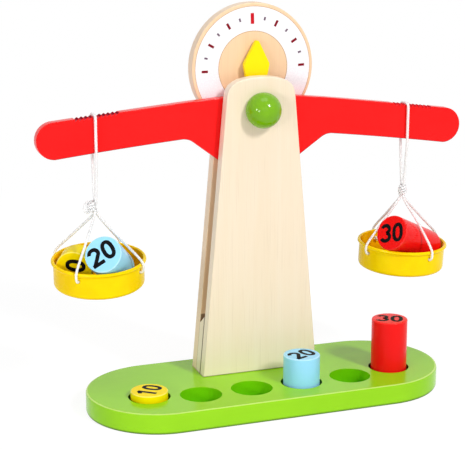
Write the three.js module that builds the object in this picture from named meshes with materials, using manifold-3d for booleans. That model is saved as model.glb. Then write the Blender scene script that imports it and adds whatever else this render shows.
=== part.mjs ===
// A wooden math balance: a beam that rocks between two boards on a long base, a pan on
// cords at each end, and six round weights of 10, 20 and 30 units whose lengths are in
// the same proportion. Millimetres, +Z up, +X to the right along the base, the front at -Y,
// origin at the middle of the base's underside.
import * as THREE from 'three';
import { mergeVertices } from 'three/addons/utils/BufferGeometryUtils.js';
import Module from 'manifold-3d';

const wasm = await Module();
wasm.setup();

// Clearances and overruns that several pieces share.
const snugGap = 0.3;
const runningGap = 0.1;
const cutOverrun = 4;
const weldTolerance = 1e-4;

// Weights: one diameter, and a length that grows with the value.
const weightDiameter = 30;
const lengthOfTen = 18.5;
const weightBevel = 1;

// Base board: a plank with round ends and a row of round sockets near its front edge.
const baseLength = 303;
const baseDepth = 119.5;
const baseThickness = 17;
const baseBevel = 1.6;
const socketClearance = 2;
const socketDepth = 13.5;
const socketPitch = 43.4;
const socketInset = 34;
const endSocketPitch = 40.2;
const endSocketSetback = 9.8;

// Tower: two boards with a block between them at the foot, open above it.
const boardThickness = 10;
const rearBoardThickness = 11;
const boardBevel = 1.2;
const towerBackInset = 17.75;
const footWidth = 101;
const headWidth = 56;
const frontBoardHeight = 247.5;
const shoulderHeight = 14;
const shoulderShare = 0.74;
const crownShare = 0.6;
const blockFrontHeight = 49;
const blockBackHeight = 41;

// Dial: the round head of the rear board.
const dialRadius = 52.1;
const dialAboveAxle = 31.6;

// Axle and the green knob that closes it at the front.
const axleBelowCrown = 26.5;
const axleDiameter = 6;
const knobRadius = 14.5;
const knobCentreReach = 4.5;
const knobBoreDepth = 7;

// Beam: heights are measured from the axle, and lengths from the beam's middle, which lies
// a little to the right of the axle.
const beamClearance = 0.75;
const beamThickness = 8.5;
const beamHalfLength = 183.65;
const beamOffset = 2.2;
const beamBevel = 0.6;
const beamCrown = 10.3;
const beamCrownHalfWidth = 15;
const beamShoulderX = 60;
const beamShoulderTop = 6.25;
const beamEndDrop = 20.8;
const beamEndRadius = 14.9;
const beamArmTopCrown = 0.2;
const beamArmRootX = 64.5;
const beamArmRootDepth = 23.7;
const beamArmBottomCrown = 0.45;
const beamKeelDepth = 50;
const beamKeelHalfWidth = 23;
const beamKneeX = 55.6;
const beamKneeDepth = 26.5;
const beamLeanDeg = 1.25;

// Notches in the beam's top edge.
const notchCount = 10;
const notchPitch = 3.6;
const notchDepth = 2.5;

// Pointer: a flat kite with a tongue let into the beam.
const pointerThickness = 4.2;
const pointerHeight = 54.4;
const pointerWidestHeight = 35;
const pointerHalfWidth = 10.6;
const pointerFootHalfWidth = 6.6;
const pointerTipRadius = 1.6;
const pointerBevel = 0.5;
const tongueHalfWidth = 4;
const tongueDepth = 5.6;

// Cords and knots.
const loopDiameter = 2.4;
const strandDiameter = 2;
const cordSides = 8;
const gatherKnotRadius = 4.2;
const gatherKnotHalfHeight = 5.2;
const loopEndSpread = 1.5;
const strandEndSpread = 1.75;
const stopperKnotRadius = 2.3;
const strandBendRadius = 2;

// Pans: thin dishes with a rolled rim and four holes in the wall.
const panRimRadius = 38.4;
const panRimBeadRadius = 1.5;
const panWall = 1.2;
const panHeight = 22.5;
const panCornerRadius = 3;
const panHoleDrop = 7.3;
const panHoleDiameter = 3.2;
const strandCount = 4;

// Screws that hold the tower to the base, driven up from below.
const screwHeadDiameter = 8;
const screwHeadHeight = 3.2;
const screwShankDiameter = 4;
const screwLength = 42;
const screwTipLength = 5;
const screwEdgeDistance = 18.5;
const screwSlotWidth = 1.2;
const screwSlotDepth = 1;
const screwRecess = 0.4;

// How each pan hangs: how far its notch lies from the beam's end, how many notches there are
// inside that one, the drop from the notch to the gather knot, the middle of the rim from
// that knot, the turn of the holes, the lean, and how far each strand bows outwards.
const leftHang = {
  hangInset: 46.45,
  notchesInside: 5,
  loopDrop: 73.3,
  panX: 2.6,
  panY: 4.2,
  panDrop: 43.4,
  turnDeg: -131,
  leanDeg: 6,
  leanHeadingDeg: -110,
  bows: [0, 0, 0, 0],
};
const rightHang = {
  hangInset: 50.85,
  notchesInside: 3,
  loopDrop: 74.8,
  panX: 2,
  panY: 2.2,
  panDrop: 45.4,
  turnDeg: -76,
  leanDeg: 3.3,
  leanHeadingDeg: -59,
  bows: [2.2, 0, 0, 0],
};

// Weights in the pans, in each pan's own frame with its origin at the middle of the rim's
// top: the middle of the face that shows, and the heading and dip of the axis behind it.
const panTwenty = { x: -3.34, y: -27.81, z: 13.33, headingDeg: 54.38, dipDeg: 38 };
const panThirty = { x: -21.98, y: -22.64, z: 14.5, headingDeg: 25.87, dipDeg: 23.44 };
const panTen = { x: -21.86, y: -4.31, headingDeg: 62.74 };

// Fineness of the round surfaces.
const roundSegments = 40;
const holeSegments = 16;

// Places worked out from the sizes above.
const socketRadius = weightDiameter / 2 + socketClearance;
const socketRowY = socketInset - baseDepth / 2;
const towerBackY = baseDepth / 2 - towerBackInset;
const slotWidth = beamThickness + 2 * beamClearance;
const rearBoardFrontY = towerBackY - rearBoardThickness;
const frontBoardBackY = rearBoardFrontY - slotWidth;
const towerFrontY = frontBoardBackY - boardThickness;
const beamY = rearBoardFrontY - slotWidth / 2;
const screwX = footWidth / 2 - screwEdgeDistance;
const axleHeight = frontBoardHeight - axleBelowCrown;
const dialCentreHeight = axleHeight + dialAboveAxle;
const axleZ = baseThickness + axleHeight;
const axleHoleRadius = axleDiameter / 2 + runningGap;
const beamEndX = beamHalfLength - beamEndRadius;

// The two ends of the beam, as the sign of X.
const leftSide = -1;
const rightSide = 1;

const pineWood = { color: 0xf7e3bf, roughness: 0.55, metalness: 0 };
const greenLacquer = { color: 0x9fdc28, roughness: 0.22, metalness: 0 };
const knobGreen = { color: 0x82c20a, roughness: 0.15, metalness: 0 };
const redLacquer = { color: 0xf21c1c, roughness: 0.3, metalness: 0 };
const yellowLacquer = { color: 0xffe400, roughness: 0.3, metalness: 0 };
const blueLacquer = { color: 0x8edcf5, roughness: 0.3, metalness: 0 };
const cottonCord = { color: 0xf6f3ee, roughness: 0.9, metalness: 0 };
const zincSteel = { color: 0xb9bcc0, roughness: 0.35, metalness: 0.9 };
const weightFinishes = { 10: yellowLacquer, 20: blueLacquer, 30: redLacquer };

const radians = (degrees) => THREE.MathUtils.degToRad(degrees);

// A named mesh with its own material.
function piece(name, geometry, finish) {
  geometry.computeVertexNormals();
  const mesh = new THREE.Mesh(geometry, new THREE.MeshStandardMaterial(finish));
  mesh.name = name;
  return mesh;
}

// A closed mesh as a solid that can be cut and joined.
function solidOf(geometry) {
  const bare = geometry.clone();
  bare.deleteAttribute('normal');
  bare.deleteAttribute('uv');
  const merged = mergeVertices(bare, weldTolerance);
  const mesh = new wasm.Mesh({
    numProp: 3,
    vertProperties: new Float32Array(merged.attributes.position.array),
    triVerts: new Uint32Array(merged.index.array),
  });
  return new wasm.Manifold(mesh);
}

function geometryOf(solid) {
  const mesh = solid.getMesh();
  const geometry = new THREE.BufferGeometry();
  geometry.setAttribute('position', new THREE.BufferAttribute(new Float32Array(mesh.vertProperties), 3));
  geometry.setIndex(new THREE.BufferAttribute(new Uint32Array(mesh.triVerts), 1));
  return geometry;
}

function cutFrom(geometry, cutters) {
  const whole = cutters.reduce((solid, cutter) => solid.subtract(solidOf(cutter)), solidOf(geometry));
  return geometryOf(whole);
}

// A flat piece cut from a board: its outline in X and Z, its thickness along Y up to backY.
function boardFrom(shape, thickness, bevel, backY, curveSegments) {
  const geometry = new THREE.ExtrudeGeometry(shape, {
    depth: thickness - 2 * bevel,
    bevelEnabled: bevel > 0,
    bevelThickness: bevel,
    bevelSize: bevel,
    bevelOffset: -bevel,
    bevelSegments: 2,
    curveSegments,
  });
  geometry.rotateX(Math.PI / 2);
  geometry.translate(0, backY - bevel, 0);
  return geometry;
}

// An upright round cutter or pin from bottomZ to topZ.
function uprightCylinder(radius, bottomZ, topZ, segments) {
  const geometry = new THREE.CylinderGeometry(radius, radius, topZ - bottomZ, segments);
  geometry.rotateX(Math.PI / 2);
  geometry.translate(0, 0, (bottomZ + topZ) / 2);
  return geometry;
}

// A round cutter or pin along Y.
function crossCylinder(radius, frontY, backY, z, segments) {
  const geometry = new THREE.CylinderGeometry(radius, radius, backY - frontY, segments);
  geometry.translate(0, (frontY + backY) / 2, z);
  return geometry;
}

// A turned piece: profile points are [radius, height], from one end of the axis to the other.
function turned(profile, segments) {
  const points = profile.map(([radius, height]) => new THREE.Vector2(radius, height));
  const geometry = new THREE.LatheGeometry(points, segments);
  geometry.rotateX(Math.PI / 2);
  return geometry;
}

// A round cord along a smooth curve, with both ends cut square.
function cordAlong(points, diameter, steps) {
  const section = new THREE.Shape();
  for (let side = 0; side < cordSides; side += 1) {
    const angle = (side / cordSides) * 2 * Math.PI;
    const x = (diameter / 2) * Math.cos(angle);
    const y = (diameter / 2) * Math.sin(angle);
    if (side === 0) section.moveTo(x, y);
    else section.lineTo(x, y);
  }
  section.closePath();
  const curve = new THREE.CatmullRomCurve3(points, false, 'centripetal');
  return new THREE.ExtrudeGeometry(section, { steps, bevelEnabled: false, extrudePath: curve });
}

// Sockets: four in a straight row, and one at each end set back to follow the round end.
function socketPlaces() {
  const innerX = 1.5 * socketPitch;
  const outerX = innerX + endSocketPitch;
  const row = [-1.5, -0.5, 0.5, 1.5].map((share) => [share * socketPitch, socketRowY]);
  return [[-outerX, socketRowY + endSocketSetback], ...row, [outerX, socketRowY + endSocketSetback]];
}

function screwPlaces() {
  const boardMiddles = [towerFrontY + boardThickness / 2, rearBoardFrontY + rearBoardThickness / 2];
  return boardMiddles.flatMap((y) => [[-screwX, y], [screwX, y]]);
}

function baseBoard() {
  const endRadius = baseDepth / 2;
  const endX = baseLength / 2 - endRadius;
  const outline = new THREE.Shape();
  outline.absarc(endX, 0, endRadius, -Math.PI / 2, Math.PI / 2, false);
  outline.absarc(-endX, 0, endRadius, Math.PI / 2, 1.5 * Math.PI, false);
  const board = new THREE.ExtrudeGeometry(outline, {
    depth: baseThickness - 2 * baseBevel,
    bevelThickness: baseBevel,
    bevelSize: baseBevel,
    bevelOffset: -baseBevel,
    bevelSegments: 2,
    curveSegments: roundSegments / 2,
  });
  board.translate(0, 0, baseBevel);
  const socketFloor = baseThickness - socketDepth;
  const sockets = socketPlaces().map(([x, y]) => {
    const cutter = uprightCylinder(socketRadius, socketFloor, baseThickness + cutOverrun, roundSegments);
    return cutter.translate(x, y, 0);
  });
  const screwHoles = screwPlaces().map(([x, y]) => {
    const headRadius = screwHeadDiameter / 2 + snugGap;
    const shankRadius = screwShankDiameter / 2 + snugGap;
    const seat = screwRecess + screwHeadHeight + snugGap;
    const profile = [
      [0, -cutOverrun],
      [headRadius, -cutOverrun],
      [headRadius, screwRecess + snugGap],
      [shankRadius, seat],
      [shankRadius, baseThickness + cutOverrun],
      [0, baseThickness + cutOverrun],
    ];
    return turned(profile, holeSegments).translate(x, y, 0);
  });
  return piece('base_board', cutFrom(board, [...sockets, ...screwHoles]), greenLacquer);
}

// Half the width of the tapering boards at a height above the base.
function boardHalfWidth(height) {
  const share = height / frontBoardHeight;
  return (footWidth + (headWidth - footWidth) * share) / 2;
}

function screwHolesFor(boardMiddleY) {
  const radius = screwShankDiameter / 2 + runningGap;
  const top = screwRecess + screwLength + snugGap;
  return [-screwX, screwX].map((x) => {
    const hole = uprightCylinder(radius, baseThickness - cutOverrun, top, holeSegments);
    return hole.translate(x, boardMiddleY, 0);
  });
}

function frontBoard() {
  const shoulder = frontBoardHeight - shoulderHeight;
  const sideX = boardHalfWidth(shoulder);
  const controlX = boardHalfWidth(frontBoardHeight);
  const controlZ = shoulder + shoulderHeight * shoulderShare;
  const outline = new THREE.Shape();
  outline.moveTo(-footWidth / 2, 0);
  outline.lineTo(footWidth / 2, 0);
  outline.lineTo(sideX, shoulder);
  outline.bezierCurveTo(controlX, controlZ, controlX * crownShare, frontBoardHeight, 0, frontBoardHeight);
  outline.bezierCurveTo(-controlX * crownShare, frontBoardHeight, -controlX, controlZ, -sideX, shoulder);
  outline.closePath();
  const board = boardFrom(outline, boardThickness, boardBevel, frontBoardBackY, 7);
  board.translate(0, 0, baseThickness);
  const axleHole = crossCylinder(
    axleHoleRadius,
    towerFrontY - cutOverrun,
    frontBoardBackY + cutOverrun,
    axleZ,
    roundSegments,
  );
  const screwHoles = screwHolesFor(towerFrontY + boardThickness / 2);
  return piece('front_board', cutFrom(board, [axleHole, ...screwHoles]), pineWood);
}

// The rear board tapers like the front one and ends in the round dial.
function rearBoard() {
  const slope = (headWidth - footWidth) / 2 / frontBoardHeight;
  const a = 1 + slope * slope;
  const b = slope * (footWidth / 2) - dialCentreHeight;
  const c = (footWidth / 2) ** 2 + dialCentreHeight ** 2 - dialRadius ** 2;
  const neckHeight = (-b - Math.sqrt(b * b - a * c)) / a;
  const neckX = boardHalfWidth(neckHeight);
  const startAngle = Math.atan2(neckHeight - dialCentreHeight, neckX);
  const outline = new THREE.Shape();
  outline.moveTo(-footWidth / 2, 0);
  outline.lineTo(footWidth / 2, 0);
  outline.lineTo(neckX, neckHeight);
  outline.absarc(0, dialCentreHeight, dialRadius, startAngle, Math.PI - startAngle, false);
  outline.lineTo(-footWidth / 2, 0);
  const board = boardFrom(outline, rearBoardThickness, boardBevel, towerBackY, roundSegments * 0.7);
  board.translate(0, 0, baseThickness);
  const axleHole = crossCylinder(
    axleHoleRadius,
    rearBoardFrontY - cutOverrun,
    towerBackY + cutOverrun,
    axleZ,
    roundSegments,
  );
  const screwHoles = screwHolesFor(rearBoardFrontY + rearBoardThickness / 2);
  return piece('rear_board', cutFrom(board, [axleHole, ...screwHoles]), pineWood);
}

// The block fills the slot at the foot, and its top slopes down towards the back.
function spacerBlock() {
  const outline = new THREE.Shape();
  outline.moveTo(-footWidth / 2, 0);
  outline.lineTo(footWidth / 2, 0);
  outline.lineTo(boardHalfWidth(blockFrontHeight), blockFrontHeight);
  outline.lineTo(-boardHalfWidth(blockFrontHeight), blockFrontHeight);
  outline.closePath();
  const block = boardFrom(outline, slotWidth, 0, rearBoardFrontY, 1);
  const slope = new THREE.Shape();
  slope.moveTo(frontBoardBackY, blockFrontHeight);
  slope.lineTo(rearBoardFrontY, blockBackHeight);
  slope.lineTo(rearBoardFrontY + cutOverrun, blockBackHeight);
  slope.lineTo(rearBoardFrontY + cutOverrun, blockFrontHeight + cutOverrun);
  slope.lineTo(frontBoardBackY, blockFrontHeight + cutOverrun);
  slope.closePath();
  const wedge = new THREE.ExtrudeGeometry(slope, { depth: 2 * footWidth, bevelEnabled: false });
  wedge.translate(0, 0, -footWidth);
  wedge.rotateX(Math.PI / 2);
  wedge.rotateZ(Math.PI / 2);
  const geometry = cutFrom(block, [wedge]);
  geometry.translate(0, 0, baseThickness);
  return piece('spacer_block', geometry, pineWood);
}

function axle() {
  const frontY = towerFrontY - knobBoreDepth + snugGap;
  return piece('axle_dowel', crossCylinder(axleDiameter / 2, frontY, towerBackY, axleZ, roundSegments), pineWood);
}

// The knob is a ball with a flat back, bored for the axle.
function knob() {
  const flatRadius = Math.sqrt(knobRadius ** 2 - knobCentreReach ** 2);
  const rimAngle = Math.asin(knobCentreReach / knobRadius);
  const rings = 14;
  const profile = [[0, knobBoreDepth], [axleHoleRadius, knobBoreDepth], [axleHoleRadius, 0], [flatRadius, 0]];
  for (let ring = 1; ring < rings; ring += 1) {
    const angle = -rimAngle + ((Math.PI / 2 + rimAngle) * ring) / rings;
    profile.push([knobRadius * Math.cos(angle), knobCentreReach + knobRadius * Math.sin(angle)]);
  }
  profile.push([0, knobCentreReach + knobRadius]);
  const geometry = turned(profile, roundSegments);
  geometry.rotateX(Math.PI / 2);
  geometry.translate(0, towerFrontY, axleZ);
  return piece('front_ball_knob', geometry, knobGreen);
}

function screw(name, x, y) {
  const headRadius = screwHeadDiameter / 2;
  const shankRadius = screwShankDiameter / 2;
  const profile = [
    [0, 0],
    [headRadius, 0],
    [shankRadius, screwHeadHeight],
    [shankRadius, screwLength - screwTipLength],
    [0, screwLength],
  ];
  const body = turned(profile, holeSegments);
  const slotLength = screwHeadDiameter - 2 * screwSlotWidth;
  const cutHeight = screwSlotDepth + cutOverrun;
  const across = new THREE.BoxGeometry(slotLength, screwSlotWidth, cutHeight);
  const along = new THREE.BoxGeometry(screwSlotWidth, slotLength, cutHeight);
  const slots = [across, along].map((slot) => slot.translate(0, 0, screwSlotDepth - cutHeight / 2));
  const geometry = cutFrom(body, slots).translate(x, y, screwRecess);
  return piece(name, geometry, zincSteel);
}

// Height of the beam's top edge beyond its shoulder: nearly straight down to the round end.
function armTop(x) {
  const endTop = beamEndRadius - beamEndDrop;
  const share = (x - beamShoulderX) / (beamEndX - beamShoulderX);
  return beamShoulderTop + (endTop - beamShoulderTop) * share + beamArmTopCrown * 4 * share * (1 - share);
}

// Half of the beam's outline, from the middle of the keel out along the underside, round
// the end and back along the top to the middle of the crown.
function beamOutline() {
  const endTop = beamEndRadius - beamEndDrop;
  const endBottom = -beamEndRadius - beamEndDrop;
  const topControlX = (beamShoulderX + beamEndX) / 2;
  const topControlZ = (beamShoulderTop + endTop) / 2 + 2 * beamArmTopCrown;
  const bottomControlX = (beamArmRootX + beamEndX) / 2;
  const bottomControlZ = (endBottom - beamArmRootDepth) / 2 + 2 * beamArmBottomCrown;
  const keelSlope = (beamKeelDepth - beamKneeDepth) / (beamKneeX - beamKeelHalfWidth);
  const filletX = beamKneeX + (beamKneeDepth - beamArmRootDepth) / keelSlope;
  const outline = new THREE.Shape();
  outline.moveTo(-beamKeelHalfWidth, -beamKeelDepth);
  outline.lineTo(beamKeelHalfWidth, -beamKeelDepth);
  outline.lineTo(beamKneeX, -beamKneeDepth);
  outline.quadraticCurveTo(filletX, -beamArmRootDepth, beamArmRootX, -beamArmRootDepth);
  outline.quadraticCurveTo(bottomControlX, bottomControlZ, beamEndX, endBottom);
  outline.absarc(beamEndX, -beamEndDrop, beamEndRadius, -Math.PI / 2, Math.PI / 2, false);
  outline.quadraticCurveTo(topControlX, topControlZ, beamShoulderX, beamShoulderTop);
  outline.quadraticCurveTo(beamCrownHalfWidth, beamCrown, 0, beamCrown);
  outline.quadraticCurveTo(-beamCrownHalfWidth, beamCrown, -beamShoulderX, beamShoulderTop);
  outline.quadraticCurveTo(-topControlX, topControlZ, -beamEndX, endTop);
  outline.absarc(-beamEndX, -beamEndDrop, beamEndRadius, Math.PI / 2, 1.5 * Math.PI, false);
  outline.quadraticCurveTo(-bottomControlX, bottomControlZ, -beamArmRootX, -beamArmRootDepth);
  outline.quadraticCurveTo(-filletX, -beamArmRootDepth, -beamKneeX, -beamKneeDepth);
  outline.closePath();
  return outline;
}

// The steep side of the notch that a pan hangs in, from the beam's middle.
function notchWallOf(hang) {
  return beamHalfLength - hang.hangInset + loopDiameter / 2 + snugGap;
}

// One side's row of saw-tooth notches as a cutter. Each tooth is steep on its outer side.
function notchComb(side, hang) {
  const firstX = notchWallOf(hang) - hang.notchesInside * notchPitch;
  const comb = new THREE.Shape();
  comb.moveTo(side * (firstX - notchPitch), armTop(firstX - notchPitch) + cutOverrun);
  for (let notch = 0; notch < notchCount; notch += 1) {
    const wallX = firstX + notch * notchPitch;
    const startX = wallX - notchPitch;
    comb.lineTo(side * startX, armTop(startX));
    comb.lineTo(side * wallX, armTop(wallX) - notchDepth);
  }
  const lastX = firstX + (notchCount - 1) * notchPitch;
  comb.lineTo(side * lastX, armTop(lastX) + cutOverrun);
  comb.closePath();
  const depth = beamThickness + 2 * cutOverrun;
  return boardFrom(comb, depth, 0, beamThickness / 2 + cutOverrun, 1).translate(beamOffset, 0, 0);
}

// The beam's frame has its origin on the axle; every piece fixed to the beam is drawn in it.
function beam() {
  const bar = boardFrom(beamOutline(), beamThickness, beamBevel, beamThickness / 2, 8).translate(beamOffset, 0, 0);
  const halfDepth = beamThickness / 2 + cutOverrun;
  const axleHole = crossCylinder(axleHoleRadius, -halfDepth, halfDepth, 0, roundSegments);
  const mortiseWidth = 2 * (tongueHalfWidth + snugGap);
  const mortiseDepth = tongueDepth + snugGap;
  const mortise = new THREE.BoxGeometry(mortiseWidth, pointerThickness + 2 * snugGap, mortiseDepth + cutOverrun);
  mortise.translate(0, 0, beamCrown - mortiseDepth + (mortiseDepth + cutOverrun) / 2);
  const combs = [notchComb(rightSide, rightHang), notchComb(leftSide, leftHang)];
  return piece('beam', cutFrom(bar, [axleHole, mortise, ...combs]), redLacquer);
}

function pointer() {
  const footZ = beamCrown + snugGap;
  const outline = new THREE.Shape();
  outline.moveTo(-tongueHalfWidth, beamCrown - tongueDepth);
  outline.lineTo(tongueHalfWidth, beamCrown - tongueDepth);
  outline.lineTo(tongueHalfWidth, footZ);
  outline.lineTo(pointerFootHalfWidth, footZ);
  const cornerDrop = pointerWidestHeight - pointerTipRadius;
  const cornerRise = pointerWidestHeight + pointerTipRadius;
  outline.lineTo(pointerHalfWidth, cornerDrop);
  outline.quadraticCurveTo(pointerHalfWidth + pointerBevel, pointerWidestHeight, pointerHalfWidth - pointerBevel, cornerRise);
  outline.lineTo(pointerTipRadius, pointerHeight - pointerTipRadius);
  outline.quadraticCurveTo(0, pointerHeight + pointerBevel, -pointerTipRadius, pointerHeight - pointerTipRadius);
  outline.lineTo(-pointerHalfWidth + pointerBevel, cornerRise);
  outline.quadraticCurveTo(-pointerHalfWidth - pointerBevel, pointerWidestHeight, -pointerHalfWidth, cornerDrop);
  outline.lineTo(-pointerFootHalfWidth, footZ);
  outline.lineTo(-tongueHalfWidth, footZ);
  outline.closePath();
  return piece('pointer', boardFrom(outline, pointerThickness, 0, pointerThickness / 2, 4), yellowLacquer);
}

// Where the cord lies in its notch: it rests on the slope and against the steep side.
function notchSeat(side, hang) {
  const notchWallX = notchWallOf(hang);
  const slopeRise = armTop(notchWallX - notchPitch) - armTop(notchWallX) + notchDepth;
  const slopeAngle = Math.atan2(slopeRise, notchPitch);
  const reach = loopDiameter / 2 + snugGap;
  const rise = (reach * (1 + Math.sin(slopeAngle))) / Math.cos(slopeAngle);
  const seatX = beamOffset + side * (notchWallX - reach);
  const seat = new THREE.Vector3(seatX, 0, armTop(notchWallX) - notchDepth + rise);
  seat.applyAxisAngle(new THREE.Vector3(0, 1, 0), radians(beamLeanDeg));
  return seat.add(new THREE.Vector3(0, beamY, axleZ));
}

// The hanger: one cord laid over the beam, both ends in the gather knot. Its frame has its
// origin at the seat in the notch.
function hangerLoop(name, loopDrop) {
  const bend = (loopDiameter * 3) / 4;
  const reachY = beamThickness / 2 + bend + snugGap;
  const endZ = gatherKnotHalfHeight + snugGap - loopDrop;
  const faceBottom = -(beamEndRadius * 2 + notchDepth);
  const half = [
    [loopEndSpread, endZ],
    [loopEndSpread, endZ + loopDiameter],
    [(loopEndSpread + reachY) / 2, (endZ + faceBottom) / 2],
    [reachY, faceBottom],
    [reachY, faceBottom / 2],
    [reachY, -bend],
    [reachY - bend * (1 - Math.SQRT1_2), -bend * (1 - Math.SQRT1_2)],
    [reachY - bend, 0],
  ];
  const front = half.map(([y, z]) => new THREE.Vector3(0, -y, z));
  const back = half.map(([y, z]) => new THREE.Vector3(0, y, z)).reverse();
  return piece(name, cordAlong([...front, ...back], loopDiameter, 44), cottonCord);
}

function gatherKnot(name) {
  const rings = 6;
  const profile = [];
  for (let ring = 0; ring <= rings; ring += 1) {
    const angle = -Math.PI / 2 + (Math.PI * ring) / rings;
    const radius = ring % rings === 0 ? 0 : gatherKnotRadius * Math.cos(angle);
    profile.push([radius, gatherKnotHalfHeight * Math.sin(angle)]);
  }
  return piece(name, turned(profile, holeSegments), cottonCord);
}

// The pan's frame has its origin at the middle of the rim's top.
function pan(name, turnDeg) {
  const wallOuter = panRimRadius - 2 * panRimBeadRadius + panWall;
  const wallInner = wallOuter - panWall;
  const beadX = panRimRadius - panRimBeadRadius;
  const innerCorner = panCornerRadius - panWall;
  const profile = [[0, -panHeight]];
  const cornerSteps = 5;
  for (let step = 0; step <= cornerSteps; step += 1) {
    const angle = -Math.PI / 2 + ((Math.PI / 2) * step) / cornerSteps;
    const x = wallOuter - panCornerRadius + panCornerRadius * Math.cos(angle);
    profile.push([x, -panHeight + panCornerRadius + panCornerRadius * Math.sin(angle)]);
  }
  const beadSteps = 6;
  const startAngle = -Math.acos((wallOuter - beadX) / panRimBeadRadius);
  for (let step = 0; step <= beadSteps; step += 1) {
    const angle = startAngle + ((Math.PI - startAngle) * step) / beadSteps;
    const z = -panRimBeadRadius + panRimBeadRadius * Math.sin(angle);
    profile.push([beadX + panRimBeadRadius * Math.cos(angle), z]);
  }
  for (let step = cornerSteps; step >= 0; step -= 1) {
    const angle = -Math.PI / 2 + ((Math.PI / 2) * step) / cornerSteps;
    const x = wallInner - innerCorner + innerCorner * Math.cos(angle);
    profile.push([x, -panHeight + panCornerRadius + innerCorner * Math.sin(angle)]);
  }
  profile.push([0, panWall - panHeight]);
  const dish = turned(profile, roundSegments);
  const holes = [];
  for (let strand = 0; strand < strandCount; strand += 1) {
    const hole = crossCylinder(panHoleDiameter / 2, wallInner - cutOverrun, wallOuter + cutOverrun, -panHoleDrop, 12);
    hole.rotateZ(radians(turnDeg) - Math.PI / 2 + (strand * 2 * Math.PI) / strandCount);
    holes.push(hole);
  }
  return piece(name, cutFrom(dish, holes), yellowLacquer);
}

// One strand, in the pan's frame: from its stopper knot inside the wall, out through the
// hole, up past the rim and in to the gather knot, whose middle is at knotMiddle.
function strand(name, headingDeg, knotMiddle, bow) {
  const wallOuter = panRimRadius - 2 * panRimBeadRadius + panWall;
  const knotX = wallOuter - panWall - stopperKnotRadius - snugGap;
  const besideRim = panRimRadius + strandDiameter / 2 + snugGap;
  const beadX = panRimRadius - panRimBeadRadius;
  const overReach = (panRimBeadRadius + strandDiameter / 2 + snugGap) * Math.SQRT1_2 + snugGap / 2;
  const heading = radians(headingDeg);
  const outward = new THREE.Vector3(Math.cos(heading), Math.sin(heading), 0);
  const route = [
    [knotX, -panHoleDrop],
    [wallOuter - panWall / 2, -panHoleDrop],
    [wallOuter + strandDiameter / 2, -panHoleDrop],
    [besideRim - strandDiameter / 5, -panHoleDrop + strandBendRadius],
    [besideRim, -2 * panRimBeadRadius],
    [beadX + overReach, -panRimBeadRadius + overReach],
  ];
  const points = route.map(([r, z]) => outward.clone().multiplyScalar(r).setZ(z));
  const rimPoint = points[points.length - 1];
  const below = gatherKnotHalfHeight + snugGap;
  const end = knotMiddle.clone().addScaledVector(outward, strandEndSpread);
  end.z -= below;
  const turn = end.clone().addScaledVector(outward, strandDiameter / 2);
  turn.z -= strandDiameter;
  const middle = rimPoint.clone().lerp(turn, 0.5).addScaledVector(outward, bow);
  points.push(middle, turn, end);
  const tube = cordAlong(points, strandDiameter, 30);
  const stopper = new THREE.SphereGeometry(stopperKnotRadius, 10, 7);
  stopper.rotateX(Math.PI / 2);
  stopper.translate(knotX, 0, -panHoleDrop);
  stopper.rotateZ(heading);
  return piece(name, geometryOf(solidOf(tube).add(solidOf(stopper))), cottonCord);
}

// A weight stands on its origin with its numbered face up.
function weight(name, value) {
  const length = (lengthOfTen * value) / 10;
  const radius = weightDiameter / 2;
  const profile = [
    [0, 0],
    [radius - weightBevel, 0],
    [radius, weightBevel],
    [radius, length - weightBevel],
    [radius - weightBevel, length],
    [0, length],
  ];
  return piece(name, turned(profile, roundSegments), weightFinishes[value]);
}

// A weight in a pan: the middle of its numbered face and the heading and dip of its axis.
function leaningWeight(name, value, place) {
  const mesh = weight(name, value);
  const heading = radians(place.headingDeg);
  const dip = radians(place.dipDeg ?? 0);
  const back = new THREE.Vector3(Math.cos(heading) * Math.cos(dip), Math.sin(heading) * Math.cos(dip), -Math.sin(dip));
  const length = (lengthOfTen * value) / 10;
  const floorZ = panWall - panHeight + weightDiameter / 2 + snugGap;
  const face = new THREE.Vector3(place.x, place.y, place.z ?? floorZ);
  mesh.quaternion.setFromUnitVectors(new THREE.Vector3(0, 0, 1), back.clone().negate());
  mesh.position.copy(face).addScaledVector(back, length);
  return mesh;
}

// Everything that hangs from one end of the beam.
function hangingSide(label, side, hang, weights) {
  const seat = new THREE.Group();
  seat.position.copy(notchSeat(side, hang));
  seat.add(hangerLoop(`${label}_hanger_loop`, hang.loopDrop));
  const knotMesh = gatherKnot(`${label}_gather_knot`);
  knotMesh.position.z = -hang.loopDrop;
  seat.add(knotMesh);
  const heading = radians(hang.leanHeadingDeg);
  const leanAxis = new THREE.Vector3(-Math.sin(heading), Math.cos(heading), 0);
  const dish = new THREE.Group();
  dish.position.set(hang.panX, hang.panY, -hang.loopDrop - hang.panDrop);
  dish.quaternion.setFromAxisAngle(leanAxis, radians(hang.leanDeg));
  const knotMiddle = new THREE.Vector3(-hang.panX, -hang.panY, hang.panDrop);
  knotMiddle.applyQuaternion(dish.quaternion.clone().invert());
  dish.add(pan(`${label}_pan`, hang.turnDeg));
  hang.bows.forEach((bow, index) => {
    const headingDeg = hang.turnDeg + (index * 360) / strandCount;
    dish.add(strand(`${label}_strand_${index + 1}`, headingDeg, knotMiddle, bow));
  });
  dish.add(...weights);
  seat.add(dish);
  return seat;
}

function standingWeights() {
  const filled = [[0, 10], [3, 20], [5, 30]];
  const names = { 10: 'base_weight_10', 20: 'base_weight_20', 30: 'base_weight_30' };
  const places = socketPlaces();
  return filled.map(([socket, value]) => {
    const mesh = weight(names[value], value);
    const [x, y] = places[socket];
    mesh.position.set(x, y, baseThickness - socketDepth + snugGap);
    return mesh;
  });
}

const balance = new THREE.Group();
balance.add(baseBoard(), frontBoard(), rearBoard(), spacerBlock(), axle(), knob());
screwPlaces().forEach(([x, y], index) => balance.add(screw(`tower_screw_${index + 1}`, x, y)));

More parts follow.
